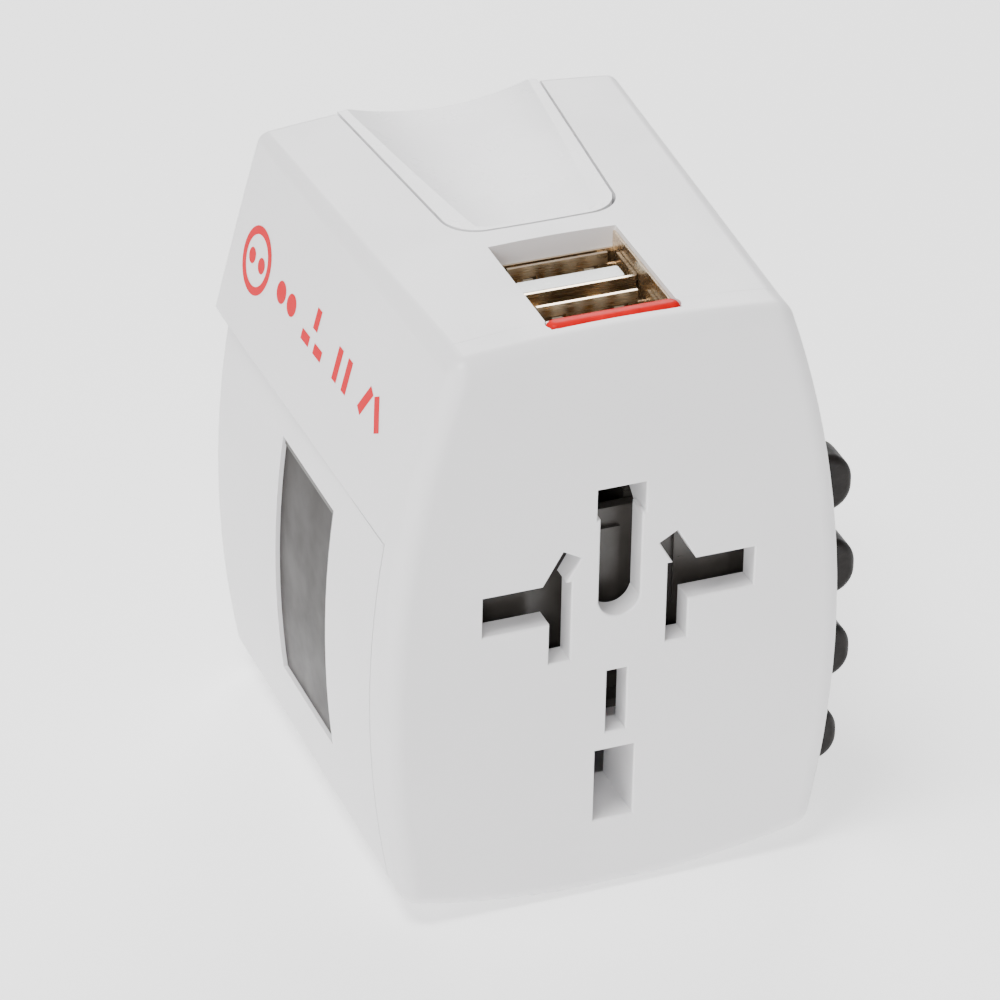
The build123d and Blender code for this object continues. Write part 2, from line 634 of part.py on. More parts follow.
with BuildPart() as uk_sleeves:
    flat_prongs(UK_PIN_X, UK_Z, UK_PIN_WIDE, UK_PIN_TALL, 0, PLATE_REAR, UK_SLEEVE_END)
    flat_prongs(UK_PIN_X, UK_Z, UK_CORE_WIDE, UK_CORE_TALL, 0, PLATE_REAR, UK_SLEEVE_END, Mode.SUBTRACT)
finish(uk_sleeves, "uk_pin_sleeves")

with BuildPart() as uk_earth:
    with BuildSketch(at_y(PLATE_REAR)):
        with Locations((0, UK_Z + UK_EARTH_UP)):
            Rectangle(UK_EARTH_WIDE, UK_EARTH_TALL)
    extrude(amount=PLATE_REAR - BACK_OUT + EARTH_SINK)
    chamfer(uk_earth.faces().sort_by(Axis.Y)[-1].edges(), length=TIP_ROUND)
finish(uk_earth, "uk_earth_pin")

with BuildPart() as us_pins:
    flat_prongs(US_PIN_X, US_Z, US_PIN_WIDE, US_PIN_TALL, 0, PLATE_FRONT, US_TIP)
    chamfer(us_pins.faces().sort_by(Axis.Y)[-2:].edges().filter_by(Axis.Z), length=0.5)
finish(us_pins, "us_pins")

with BuildPart() as au_pins:
    flat_prongs(AU_PIN_X, AU_Z, AU_PIN_WIDE, AU_PIN_TALL, TILT, PLATE_FRONT, AU_TIP)
    chamfer(au_pins.faces().sort_by(Axis.Y)[-2:].edges(), length=0.35)
finish(au_pins, "au_pins")


# ---- rubber knobs, shaped to the bulge of the right side ----
def knob(level, name):
    """D-shaped rubber cap on the stem of one carrier."""
    with BuildPart() as cap:
        out_x = side_x(level) + KNOB_PROUD
        with BuildSketch(at_y(KNOB_FRONT)) as lobe:
            with Locations(((KNOB_ROOT + out_x) / 2, level)):
                Rectangle(out_x - KNOB_ROOT, KNOB_TALL)
            fillet(lobe.vertices().group_by(Axis.X)[-1].sort_by(Axis.Y)[-1], radius=KNOB_TOP_R)
            fillet(lobe.vertices().group_by(Axis.X)[-1].sort_by(Axis.Y)[0], radius=KNOB_LOW_R)
        extrude(amount=KNOB_FRONT - KNOB_REAR)
        fillet(cap.faces().sort_by(Axis.Y)[-1].edges(), radius=KNOB_REAR_R)
        fillet(cap.faces().sort_by(Axis.Y)[0].edges(), radius=KNOB_FRONT_R)
        with BuildSketch(at_y(KNOB_FRONT - 1)):
            with Locations((SIDE_X - SIDE_R, SIDE_Z)):
                Circle(SIDE_R + KNOB_GAP)
        extrude(amount=KNOB_FRONT - KNOB_REAR - 2, mode=Mode.SUBTRACT)
        stem_out = side_x(level) + STEM_REACH
        stem_low = level - STEM_TALL / 2
        stem_high = level + STEM_TALL / 2
        box_between(KNOB_ROOT, stem_out, STEM_FRONT, STEM_REAR, stem_low, stem_high, Mode.SUBTRACT)
    finish(cap, name)


knob(EU_Z, "eu_knob")
knob(UK_Z, "uk_knob")
knob(US_Z, "us_knob")
knob(AU_Z, "au_knob")

# ---- socket block, shutter and contacts ----
BLOCK_HALF = 16.5
BLOCK_FRONT = -20.1
BLOCK_REAR = -7.0
BLOCK_LOW = 18.6
BLOCK_TOP = 47.6
POCKET_IN = 4.4
POCKET_OUT = 15.4
POCKET_LOW = 28.0
POCKET_TOP = 43.6
POCKET_BACK = -9.0
MIDDLE_HALF = 2.9
MIDDLE_LOW = 32.4
MIDDLE_TOP = 48.4
MIDDLE_BACK = -10.0
NARROW_HALF = 1.4
NARROW_LOW = 20.4
NARROW_TOP = 26.4
NARROW_BACK = -16.0
RAIL_GAP = 0.3
RAIL_THICK = 1.2
SHELF_TOP = 19.6
SHELF_HALF = 15.6

SHUTTER_FRONT = -22.2
SHUTTER_REAR = -20.5
SHUTTER_LOW = 27.4
SHUTTER_TOP = 49.4
SHUTTER_HALF = 16.0
SHUTTER_CORNER_R = 1.2
PANEL_STEP = 0.5
PANEL_IN = 7.7
PANEL_OUT = 13.9
PANEL_LOW = 30.0
PANEL_TOP = 38.6
STRIPE_HALF = 1.7
STRIPE_LOW = 31.0
STRIPE_TOP = 40.5
NOTCH_HALF = 4.2
NOTCH_LOW = 42.6

with BuildPart() as socket_block:
    box_between(-BLOCK_HALF, BLOCK_HALF, BLOCK_FRONT, BLOCK_REAR, BLOCK_LOW, BLOCK_TOP)
    rail_in = SHUTTER_HALF + RAIL_GAP
    for side in (-1, 1):
        side_box(side, rail_in, rail_in + RAIL_THICK, SHUTTER_FRONT, BLOCK_REAR, BLOCK_LOW, BLOCK_TOP)
        side_box(
            side, POCKET_IN, POCKET_OUT, BLOCK_FRONT - 1, POCKET_BACK, POCKET_LOW, POCKET_TOP, Mode.SUBTRACT
        )
    box_between(-SHELF_HALF, SHELF_HALF, SHUTTER_FRONT, BLOCK_FRONT, BLOCK_LOW, SHELF_TOP)
    box_between(
        -MIDDLE_HALF, MIDDLE_HALF, BLOCK_FRONT - 1, MIDDLE_BACK, MIDDLE_LOW, MIDDLE_TOP, Mode.SUBTRACT
    )
    box_between(
        -NARROW_HALF, NARROW_HALF, BLOCK_FRONT - 1, NARROW_BACK, NARROW_LOW, NARROW_TOP, Mode.SUBTRACT
    )
finish(socket_block, "socket_block")

with BuildPart() as socket_shutter:
    panel_back = SHUTTER_FRONT + PANEL_STEP
    box_between(-SHUTTER_HALF, SHUTTER_HALF, panel_back, SHUTTER_REAR, SHUTTER_LOW, SHUTTER_TOP)
    fillet(socket_shutter.edges().filter_by(Axis.Y), radius=SHUTTER_CORNER_R)
    for side in (-1, 1):
        side_box(side, PANEL_IN, PANEL_OUT, SHUTTER_FRONT, panel_back, PANEL_LOW, PANEL_TOP)
    box_between(-STRIPE_HALF, STRIPE_HALF, SHUTTER_FRONT, panel_back, STRIPE_LOW, STRIPE_TOP)
    box_between(
        -NOTCH_HALF, NOTCH_HALF, SHUTTER_FRONT - 1, SHUTTER_REAR + 1, NOTCH_LOW, SHUTTER_TOP + 1, Mode.SUBTRACT
    )
finish(socket_shutter, "socket_shutter")

RETURN_WIRE = 0.15
RETURN_COIL_R = 0.6
RETURN_TURNS = 8
RETURN_X = 11.0
RETURN_TALL = SHUTTER_LOW - SHELF_TOP - 2 * RETURN_WIRE

with BuildPart() as shutter_springs:
    for side in (-1, 1):
        foot = (side * RETURN_X, (SHUTTER_FRONT + SHUTTER_REAR) / 2, SHELF_TOP + RETURN_WIRE)
        coil(foot, RETURN_COIL_R, RETURN_WIRE, RETURN_TALL, RETURN_TURNS)
finish(shutter_springs, "shutter_springs")

CONTACT_IN = 7.0
CONTACT_OUT = 14.2
CONTACT_FRONT = -19.4
CONTACT_BACK = -10.4
CONTACT_LOW = 31.0
CONTACT_TALL = 9.0
CONTACT_SHEET = 0.6


def contact(side, name):
    """Brass strip folded to a U that grips a blade or a pin."""
    x_in = side * CONTACT_IN
    x_out = side * CONTACT_OUT
    with BuildPart() as strip:
        with BuildSketch(Plane.XY.offset(CONTACT_LOW)):
            with BuildLine():
                Polyline(
                    (x_in, CONTACT_FRONT), (x_in, CONTACT_BACK), (x_out, CONTACT_BACK), (x_out, CONTACT_FRONT)
                )
                offset(amount=CONTACT_SHEET / 2, side=Side.BOTH)
            make_face()
        extrude(amount=CONTACT_TALL)
    finish(strip, name)


contact(-1, "neutral_contact")
contact(1, "live_contact")

# ---- chassis: bulkhead, guide shelves, deck for the button springs and screw bosses ----
SHELF_LEVELS = (14.05, 24.75, 34.65, 46.0)
SHELF_THICK = 1.2
SHELF_LEFT = -15.3
SHELF_RIGHT = 18.4
BULKHEAD_FRONT = -3.2
BULKHEAD_BACK = -1.5
BULKHEAD_LOW = 4.2
FOOT_HALF = 6.0
FOOT_LOW = 1.2
DECK_HALF = 16.4
DECK_REAR = 23.6
CHEEK_IN = 5.0
CHEEK_LOW = 46.0
CHEEK_WALL = 1.2
BOSS_FRONT = 14.0
SCREW_TIP = 16.0
SLIT_GAP = 0.5

with BuildPart() as chassis:
    box_between(SHELF_LEFT, SHELF_RIGHT - 0.6, BULKHEAD_FRONT, BULKHEAD_BACK, BULKHEAD_LOW, DECK_TOP)
    box_between(-FOOT_HALF, FOOT_HALF, BULKHEAD_FRONT, BULKHEAD_BACK, FOOT_LOW, BULKHEAD_LOW)
    for level in SHELF_LEVELS:
        shelf_low = level - SHELF_THICK / 2
        box_between(SHELF_LEFT, SHELF_RIGHT, BULKHEAD_FRONT, BACK_IN, shelf_low, shelf_low + SHELF_THICK)
    box_between(-DECK_HALF, DECK_HALF, BULKHEAD_FRONT, DECK_REAR, DECK_TOP - SHELF_THICK, DECK_TOP)
    box_between(CHEEK_IN, DECK_HALF, BULKHEAD_FRONT, DECK_REAR, CHEEK_LOW, DECK_TOP)
    box_between(
        CHEEK_IN + CHEEK_WALL, DECK_HALF - CHEEK_WALL, BULKHEAD_BACK, DECK_REAR + 1,
        CHEEK_LOW + CHEEK_WALL, DECK_TOP - SHELF_THICK, Mode.SUBTRACT,
    )
    with BuildSketch(at_y(BOSS_FRONT)) as bosses:
        with Locations(SCREW_POINTS):
            Circle(BOSS_R)
    extrude(bosses.sketch, amount=BOSS_FRONT - BACK_IN)
    with BuildSketch(at_y(BOSS_FRONT + 1)) as bores:
        with Locations(SCREW_POINTS):
            Circle(SCREW_R)
    extrude(bores.sketch, amount=BOSS_FRONT + 1 - BACK_IN, mode=Mode.SUBTRACT)
    box_between(
        LATCH_X - SLIT_GAP, LATCH_X + LATCH_WIDE + SLIT_GAP, BULKHEAD_FRONT - 0.1, LATCH_HOOK,
        DECK_TOP - 3, DECK_TOP + 1, Mode.SUBTRACT,
    )
finish(chassis, "chassis")

HEAD_SINK = 0.1
HEAD_DEEP = 1.15
CROSS_DEEP = 0.6
CROSS_LONG = 2.4
CROSS_WIDE = 0.5

with BuildPart() as screws:
    for x, z in SCREW_POINTS:
        with BuildSketch(Plane(origin=(x, 0, z), x_dir=(1, 0, 0), z_dir=(0, 0, 1))) as profile:
            with BuildLine():
                Polyline(
                    (0, SCREW_TIP), (SCREW_R, SCREW_TIP), (SCREW_R, BACK_OUT - HEAD_DEEP),
                    (SCREW_HEAD_R, BACK_OUT - HEAD_SINK), (0, BACK_OUT - HEAD_SINK), (0, SCREW_TIP),
                )
            make_face()
        revolve(profile.sketch, axis=Axis((x, 0, z), (0, 1, 0)))
    with BuildSketch(at_y(BACK_OUT)) as crosses:
        with Locations(SCREW_POINTS):
            Rectangle(CROSS_LONG, CROSS_WIDE)
            Rectangle(CROSS_WIDE, CROSS_LONG)
    extrude(crosses.sketch, amount=CROSS_DEEP, mode=Mode.SUBTRACT)
finish(screws, "back_plate_screws")

# ---- charging board, ports and electronics ----
BOARD_HALF = 16.2
BOARD_FRONT = -21.9
BOARD_SLOT_HALF = 17.0
SHELL_FLOOR = BOARD_TOP + 1.2
SHELL_CORNER_R = 0.5
LEAF_X = 3.3
LEAF_HALF = 1.1
LEAF_LOW = PORT_TOP - 4.2
LEAF_TOP = PORT_TOP - 1.3
NOTCH_DEEP = 1.4
NOTCH_THICK = 0.6
TONGUE_HALF = 5.5
TONGUE_ROUND = 0.3
TONGUE_TOP = PORT_TOP - TONGUE_DROP
CONTACT_PITCHES = (-3.5, -1.0, 1.0, 3.5)
PAD_HALF = 0.5
PAD_THICK = 0.15
PAD_DROP = 1.0

with BuildPart() as usb_board:
    box_between(-BOARD_HALF, BOARD_HALF, BOARD_FRONT, RECESS_REAR, BOARD_LOW + 0.2, BOARD_TOP)
    box_between(
        -BOARD_SLOT_HALF, BOARD_SLOT_HALF, SHUTTER_FRONT, SHUTTER_REAR + 0.3,
        BOARD_LOW - 1, BOARD_TOP + 0.2, Mode.SUBTRACT,
    )
finish(usb_board, "usb_circuit_board")

PORT_NAMES = ("front_usb_shell", "rear_usb_shell")
for front, name in zip(PORT_FRONTS, PORT_NAMES):
    rear = front + PORT_DEEP
    inside = PORT_HALF - PORT_SHEET
    with BuildPart() as shell:
        box_between(-PORT_HALF, PORT_HALF, front, rear, BOARD_TOP, PORT_TOP)
        fillet(shell.edges().filter_by(Axis.Z), radius=SHELL_CORNER_R)
        box_between(
            -inside, inside, front + PORT_SHEET, rear - PORT_SHEET, SHELL_FLOOR, PORT_TOP + 1, Mode.SUBTRACT
        )
        for x in (-LEAF_X, LEAF_X):
            box_between(x - LEAF_HALF, x + LEAF_HALF, rear - 1, rear + 1, LEAF_LOW, LEAF_TOP, Mode.SUBTRACT)
        notch_low = PORT_TOP - NOTCH_DEEP
        for side in (-1, 1):
            side_box(
                side, PORT_HALF - CORNER_NOTCH, PORT_HALF, rear - NOTCH_THICK, rear,
                notch_low, PORT_TOP, Mode.SUBTRACT,
            )
    finish(shell, name)

with BuildPart() as tongues:
    for front in PORT_FRONTS:
        tongue_front = front + TONGUE_SET
        tongue_rear = tongue_front + TONGUE_THICK
        box_between(-TONGUE_HALF, TONGUE_HALF, tongue_front, tongue_rear, SHELL_FLOOR, TONGUE_TOP)
    fillet(tongues.edges().filter_by(Axis.Z), radius=TONGUE_ROUND)
finish(tongues, "usb_tongues")

with BuildPart() as usb_contacts:
    for front in PORT_FRONTS:
        pad_y = front + TONGUE_SET + TONGUE_THICK
        for x in CONTACT_PITCHES:
            box_between(
                x - PAD_HALF, x + PAD_HALF, pad_y, pad_y + PAD_THICK, SHELL_FLOOR, TONGUE_TOP - PAD_DROP
            )
finish(usb_contacts, "usb_contacts")

CORE_MID = (-12.0, -14.9)
FLANGE_WIDE = 7.2
FLANGE_LONG = 11.8
FLANGE_LOW_TALL = 1.4
FLANGE_TOP_TALL = 1.2
WINDING_WIDE = 5.2
WINDING_LONG = 7.4
WINDING_TALL = 6.0

with BuildPart() as transformer:
    level = BOARD_TOP
    layers = (
        (FLANGE_WIDE, FLANGE_LONG, FLANGE_LOW_TALL),
        (WINDING_WIDE, WINDING_LONG, WINDING_TALL),
        (FLANGE_WIDE, FLANGE_LONG, FLANGE_TOP_TALL),
    )
    for wide, long, tall in layers:
        with BuildSketch(Plane.XY.offset(level)) as layer:
            with Locations(CORE_MID):
                Rectangle(wide, long)
        extrude(layer.sketch, amount=tall)
        level += tall
finish(transformer, "transformer")

CAN_POINTS = ((11.6, -18.0), (11.6, -11.4))
CAN_R = 2.6
CAN_TALL = 8.6

with BuildPart() as capacitors:
    with BuildSketch(Plane.XY.offset(BOARD_TOP)):
        with Locations(CAN_POINTS):
            Circle(CAN_R)
    extrude(amount=CAN_TALL)
    fillet(capacitors.faces().sort_by(Axis.Z)[-2:].edges(), radius=0.5)
finish(capacitors, "capacitors")

CHIP_POINTS = ((-3.5, -8.75), (-3.5, -13.0), (3.6, -11.4))
CHIP_WIDE = 4.0
CHIP_LONG = 3.2
CHIP_TALL = 0.55

with BuildPart() as chips:
    with BuildSketch(Plane.XY.offset(BOARD_LOW + 0.2)):
        with Locations(CHIP_POINTS):
            Rectangle(CHIP_WIDE, CHIP_LONG)
    extrude(amount=-CHIP_TALL)
finish(chips, "controller_chips")

SHIELD_SHEET = 0.25
SHIELD_TOP = 65.3
SHIELD_REAR_TOP = 63.5
SHIELD_GAP = 0.04

with BuildPart() as shield:
    shield_front = PORT_FRONTS[0] + 0.2
    shield_rear = RECESS_REAR - SHIELD_GAP
    shield_out = RECESS_HALF - SHIELD_GAP
    for side in (-1, 1):
        side_box(
            side, shield_out - SHIELD_SHEET, shield_out, shield_front, shield_rear, BOARD_TOP, SHIELD_TOP
        )
    box_between(
        -shield_out, shield_out, shield_rear - SHIELD_SHEET, shield_rear, BOARD_TOP, SHIELD_REAR_TOP
    )
finish(shield, "usb_port_shield")

# ---- status light bar ----
with BuildPart() as light_bar:
    with BuildSketch(Plane.XY.offset(RECESS_LOW + 0.4)):
        with Locations((0, RECESS_FRONT + BAR_DEEP / 2)):
            SlotOverall(2 * BAR_HALF, BAR_DEEP)
    extrude(amount=TOP_Z + 0.1 - RECESS_LOW - 0.4)
    fillet(light_bar.faces().sort_by(Axis.Z)[-1].edges(), radius=0.85)
finish(light_bar, "status_light_bar")

# ---- side window: smoked lens, its black seal and the inner frame ----

def window_slab(radius_out, radius_in, y0, y1, z0, z1):
    """Slab that follows the bulge of the left side between two radii."""
    centre_x = SIDE_R - SIDE_X
    with BuildSketch(at_y(y0)) as bulge:
        with Locations((centre_x, SIDE_Z)):
            Circle(radius_out)
            Circle(radius_in, mode=Mode.SUBTRACT)
        with Locations((-SIDE_X, (z0 + z1) / 2)):
            Rectangle(12, z1 - z0, mode=Mode.INTERSECT)
    extrude(bulge.sketch, amount=y0 - y1)


SEAL = 0.9
LENS_SINK = 0.45
SEAL_SINK = 0.3
OPENING_GAP = 0.1

with BuildPart() as lens:
    window_slab(
        SIDE_R - LENS_SINK, SIDE_R - WALL, WINDOW_FRONT + SEAL, WINDOW_REAR - OPENING_GAP,
        WINDOW_LOW + OPENING_GAP, WINDOW_TOP - SEAL,
    )
finish(lens, "window_lens")

with BuildPart() as seal:
    seal_rear = WINDOW_REAR - OPENING_GAP
    seal_top = WINDOW_TOP - OPENING_GAP / 2
    seal_front = WINDOW_FRONT + OPENING_GAP / 2
    seal_out = SIDE_R - SEAL_SINK
    window_slab(seal_out, SIDE_R - WALL, seal_front, WINDOW_FRONT + SEAL, WINDOW_LOW + OPENING_GAP, seal_top)
    window_slab(seal_out, SIDE_R - WALL, WINDOW_FRONT + SEAL, seal_rear, WINDOW_TOP - SEAL, seal_top)
finish(seal, "window_seal")
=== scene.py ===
"""Looks of the universal travel adapter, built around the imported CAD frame. Metres."""
import json
import math

import bmesh
import bpy
from mathutils import Matrix, Vector
from mathutils.bvhtree import BVHTree


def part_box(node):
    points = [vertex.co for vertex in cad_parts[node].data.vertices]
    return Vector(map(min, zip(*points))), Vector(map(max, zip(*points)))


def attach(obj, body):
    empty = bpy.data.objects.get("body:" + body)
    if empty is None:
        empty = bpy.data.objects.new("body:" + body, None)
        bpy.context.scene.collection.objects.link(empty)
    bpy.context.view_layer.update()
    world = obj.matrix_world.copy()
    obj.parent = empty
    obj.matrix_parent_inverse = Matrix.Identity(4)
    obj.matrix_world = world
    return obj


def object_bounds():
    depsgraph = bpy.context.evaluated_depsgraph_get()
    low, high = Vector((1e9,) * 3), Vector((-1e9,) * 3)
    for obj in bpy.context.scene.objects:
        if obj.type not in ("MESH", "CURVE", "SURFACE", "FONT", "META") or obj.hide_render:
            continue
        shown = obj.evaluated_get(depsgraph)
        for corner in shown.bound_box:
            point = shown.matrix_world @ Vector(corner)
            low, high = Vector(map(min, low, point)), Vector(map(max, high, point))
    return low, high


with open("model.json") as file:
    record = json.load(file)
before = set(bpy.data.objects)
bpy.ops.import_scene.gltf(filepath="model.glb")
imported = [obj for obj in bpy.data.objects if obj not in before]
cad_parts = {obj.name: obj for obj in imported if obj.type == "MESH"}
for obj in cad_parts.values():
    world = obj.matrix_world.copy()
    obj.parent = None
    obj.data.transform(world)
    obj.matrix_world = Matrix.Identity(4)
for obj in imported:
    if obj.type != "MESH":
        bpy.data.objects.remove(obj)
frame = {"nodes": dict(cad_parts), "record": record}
cad_low, cad_high = [list(corner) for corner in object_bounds()]

# ---- camera, as the object is seen ----
VIEW_AZIMUTH = math.radians(-21.57)
VIEW_ELEVATION = math.radians(31.83)
VIEW_ROLL = math.radians(1.037)
VIEW_DISTANCE = 0.54527
VIEW_TARGET = Vector((-0.0131, -0.0267, 0.05026))
LENS_MM = 199.6
SENSOR_MM = 36.0
NEAR_CLIP = 0.01

# ---- studio: dim surround, glowing floor, and lights as (name, place, side, power) ----
SURROUND = 0.34
FLOOR_HALF = 3.0
FLOOR_GLOW = 0.7
LIGHT_AIM = (0, 0, 0.035)
SOFTBOXES = (
    ("back", (0.34, 0.82, 0.62), 0.55, 8.5),
    ("overhead", (-0.30, -0.12, 0.90), 0.35, 10.5),
    ("key", (-0.38, -0.80, 0.42), 0.35, 3.8),
    ("left", (-0.88, -0.10, 0.38), 0.35, 1.7),
)

# ---- side pictograms: place along the hood's left flank, and stroke and pin sizes ----
PRINT_Z = 0.0548
PRINT_LIFT = 0.00003
PRINT_START_Y = 0.019
PRINT_PITCH = 0.0078
ICON_RADIUS = 0.0036
STROKE = 0.0009
PIN_DOT = 0.00095
BAR_WIDE = 0.00115
BAR_TALL = 0.0036
PIN_SPREAD = 0.0016
EARTH_BAR_TALL = 0.0023
EARTH_BAR_RISE = 0.0016
LINE_BAR_WIDE = 0.0021
LINE_BAR_DROP = 0.0012
BLADE_TILT = math.radians(30)
RING_STEPS = 40
DOT_STEPS = 20
RAY_MARGIN = 0.01

# ---- leaf springs in the port shells ----
LEAF_X = 0.0033
LEAF_WIDE = 0.0011
LEAF_THICK = 0.00018
LEAF_TOP_DROP = 0.0014
LEAF_LOW_DROP = 0.0042
LEAF_SINK = 0.00045
LEAF_BOW = 0.0008


# ================= materials =================
class Look:
    """A node material under construction: one principled shader driven in object coordinates."""

    def __init__(self, name):
        self.material = bpy.data.materials.new(name)
        self.material.use_nodes = True
        self.nodes = self.material.node_tree.nodes
        self.links = self.material.node_tree.links
        self.shader = next(n for n in self.nodes if n.type == "BSDF_PRINCIPLED")
        self.place = self.nodes.new("ShaderNodeTexCoord").outputs["Object"]

    def set(self, **values):
        """Constant numbers go straight on the shader's sockets."""
        for key, value in values.items():
            self.shader.inputs[key.replace("_", " ")].default_value = value
        return self

    def stretch(self, x, y, z):
        """Object coordinates stretched along an axis, for brushed and drawn grain."""
        mapping = self.nodes.new("ShaderNodeMapping")
        mapping.inputs["Scale"].default_value = (x, y, z)
        self.links.new(self.place, mapping.inputs["Vector"])
        return mapping.outputs["Vector"]

    def noise(self, scale, detail=3.0, roughness=0.5, vector=None):
        """Fractal noise; scale counts features per metre."""
        node = self.nodes.new("ShaderNodeTexNoise")
        node.inputs["Scale"].default_value = scale
        node.inputs["Detail"].default_value = detail
        node.inputs["Roughness"].default_value = roughness
        self.links.new(vector or self.place, node.inputs["Vector"])
        return node.outputs["Fac"]

    def cells(self, scale):
        """Cell distance, for a pebbled surface."""
        node = self.nodes.new("ShaderNodeTexVoronoi")
        node.inputs["Scale"].default_value = scale
        self.links.new(self.place, node.inputs["Vector"])
        return node.outputs["Distance"]

    def span(self, source, low, high, start=0.3, end=0.7):
        """Source stretched from start..end to low..high."""
        node = self.nodes.new("ShaderNodeMapRange")
        node.inputs["From Min"].default_value = start
        node.inputs["From Max"].default_value = end
        node.inputs["To Min"].default_value = low
        node.inputs["To Max"].default_value = high
        self.links.new(source, node.inputs["Value"])
        return node.outputs["Result"]

    def tint(self, source, dark, light):
        """Colour between two shades, written to the base colour."""
        node = self.nodes.new("ShaderNodeMix")
        node.data_type = "RGBA"
        node.inputs[6].default_value = (*dark, 1.0)
        node.inputs[7].default_value = (*light, 1.0)
        self.links.new(self.span(source, 0.0, 1.0), node.inputs[0])
        self.links.new(node.outputs[2], self.shader.inputs["Base Color"])
        return self

    def rough(self, source, low, high):
        """Roughness that varies over the surface."""
        self.links.new(self.span(source, low, high), self.shader.inputs["Roughness"])
        return self

    def bump(self, *layers):
        """Surface relief from (height, depth in metres) layers, one on top of the other."""
        normal = None
        for height, depth in layers:
            node = self.nodes.new("ShaderNodeBump")
            node.inputs["Distance"].default_value = depth
            node.inputs["Strength"].default_value = 1.0
            self.links.new(height, node.inputs["Height"])
            if normal is not None:
                self.links.new(normal, node.inputs["Normal"])
            normal = node.outputs["Normal"]
        self.links.new(normal, self.shader.inputs["Normal"])
        return self


def moulded_white(name, dark, light, low_rough, high_rough):
    """Satin moulded shell: faint flow clouds, fine spark-eroded grain, slight depth."""
    look = Look(name)
    clouds = look.noise(45.0, 2.0, 0.4)
    grain = look.noise(5200.0, 2.0, 0.6)
    look.tint(clouds, dark, light)
    look.rough(look.noise(160.0, 4.0, 0.55), low_rough, high_rough)
    look.bump((clouds, 0.00006), (grain, 0.0000035))
    look.set(
        IOR=1.49,
        Subsurface_Weight=0.06,
        Subsurface_Radius=(0.0012, 0.001, 0.0009),
        Subsurface_Scale=1.0,
    )
    return look.material


def knob_rubber():
    """Dark brown-black rubber with a fine matt pebble and a faint uneven tone."""
    look = Look("knob_rubber")
    pebble = look.cells(4200.0)
    look.tint(look.noise(900.0, 4.0, 0.6), (0.007, 0.0055, 0.005), (0.015, 0.0125, 0.0115))
    look.rough(look.noise(700.0, 3.0), 0.40, 0.58)
    look.bump((pebble, 0.000012), (look.noise(240.0), 0.00003))
    look.set(IOR=1.45, Specular_IOR_Level=0.22)
    return look.material


def gloss_black():
    """Warm black moulding, half gloss, with faint handling marks."""
    look = Look("gloss_black")
    marks = look.noise(60.0, 6.0, 0.62, look.stretch(1.0, 1.0, 9.0))
    look.tint(look.noise(300.0), (0.040, 0.036, 0.032), (0.056, 0.051, 0.046))
    look.rough(marks, 0.26, 0.42)
    look.bump((look.noise(90.0), 0.00004))
    look.set(IOR=1.5)
    return look.material


def inner_grey():
    """Grey structural moulding, matt, with flow lines."""
    look = Look("inner_grey")
    flow = look.noise(120.0, 4.0, 0.5, look.stretch(1.0, 0.25, 1.0))
    look.tint(flow, (0.19, 0.19, 0.20), (0.27, 0.27, 0.28))
    look.rough(look.noise(420.0), 0.42, 0.60)
    look.bump((look.noise(2600.0), 0.000008), (flow, 0.00003))
    return look.material


def plated(name, dark, light, low_rough, high_rough, stretch):
    """Plated metal with drawn lines along one axis and soft tarnish."""
    look = Look(name)
    lines = look.noise(2400.0, 4.0, 0.6, look.stretch(*stretch))
    look.tint(look.noise(170.0, 4.0, 0.6), dark, light)
    look.rough(lines, low_rough, high_rough)
    look.bump((lines, 0.000004))
    look.set(Metallic=1.0, Anisotropic=0.35)
    return look.material


def red_light():
    """Clear red light guide: deep red with a faint haze, glossy, finely uneven."""
    look = Look("red_light")
    haze = look.noise(420.0, 3.0, 0.5)
    look.tint(haze, (0.46, 0.002, 0.003), (0.62, 0.006, 0.008))
    look.rough(look.noise(900.0), 0.28, 0.38)
    look.bump((look.noise(300.0), 0.00002))
    look.set(IOR=1.45, Specular_IOR_Level=0.07)
    return look.material


def coral_print():
    """Pad-printed coral ink: dense, slightly raised, with a fine uneven film."""
    look = Look("coral_print")
    film = look.noise(3800.0, 3.0, 0.6)
    look.tint(film, (0.56, 0.0015, 0.012), (0.66, 0.003, 0.018))
    look.rough(film, 0.45, 0.60)
    look.bump((film, 0.000004))
    look.set(Specular_IOR_Level=0.10)
    return look.material


def smoked_lens():
    """Smoked window: even grey-brown tint with a soft sheen and faint moulding streaks."""
    look = Look("smoked_lens")
    streak = look.noise(55.0, 4.0, 0.5, look.stretch(1.0, 1.0, 0.3))
    look.tint(streak, (0.024, 0.020, 0.019), (0.030, 0.026, 0.024))
    look.rough(look.noise(240.0), 0.30, 0.42)
    look.bump((streak, 0.00002))
    look.set(IOR=1.45, Specular_IOR_Level=0.10)
    return look.material


def board_green():
    """Lacquered circuit board with traces under the lacquer."""
    look = Look("board_green")
    traces = look.noise(900.0, 0.0, 0.0, look.stretch(1.0, 4.0, 1.0))
    look.tint(traces, (0.008, 0.085, 0.030), (0.025, 0.170, 0.070))
    look.rough(look.noise(1500.0), 0.22, 0.38)
    look.bump((traces, 0.00002))
    look.set(Coat_Weight=0.3)
    return look.material


def component_black():
    """Epoxy chip and capacitor sleeve."""
    look = Look("component_black")
    look.tint(look.noise(1300.0, 4.0), (0.018, 0.018, 0.020), (0.040, 0.040, 0.043))
    look.rough(look.noise(800.0), 0.35, 0.55)
    look.bump((look.noise(3000.0), 0.000006))
    return look.material


def winding_tape():
    """Yellow polyester tape over the transformer's winding."""
    look = Look("winding_tape")
    wraps = look.noise(700.0, 2.0, 0.5, look.stretch(0.2, 0.2, 2.0))
    look.tint(wraps, (0.50, 0.34, 0.035), (0.70, 0.52, 0.075))
    look.rough(look.noise(600.0), 0.20, 0.36)
    look.bump((wraps, 0.00003))
    return look.material


